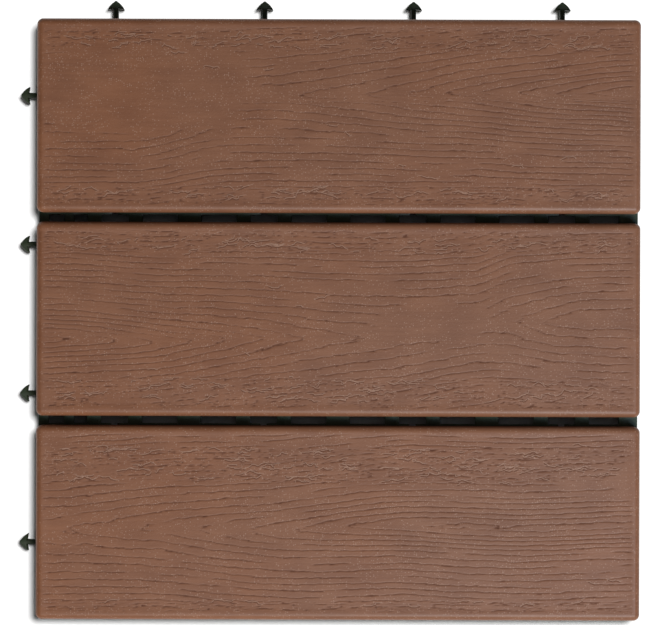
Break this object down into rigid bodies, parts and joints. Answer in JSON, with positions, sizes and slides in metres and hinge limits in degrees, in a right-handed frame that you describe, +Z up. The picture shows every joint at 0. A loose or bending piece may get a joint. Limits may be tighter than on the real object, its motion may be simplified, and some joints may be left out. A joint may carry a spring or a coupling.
{
  "type": "interlocking deck tile",
  "caption": "Square outdoor floor tile: embossed plastic slats on a lattice base, with arrow plugs on two sides that seat in the sockets of the next tile.",
  "frame": {"origin": "middle of the tile, on the plane that its feet and outer wall stand on", "axes": "+Z up through the walking face, +X along the slats to the right-hand sockets, +Y to the rear plugs"},
  "size_m": [0.3076, 0.3069, 0.025],
  "materials": {
    "slat": "red-brown, with an embossed wood grain on the walking face",
    "base": "dark, slightly green, as moulded"
  },
  "bodies": {
    "root": {"slat_front": "slat", "slat_middle": "slat", "slat_rear": "slat", "base_grid": "base"}
  },
  "joints": []
}
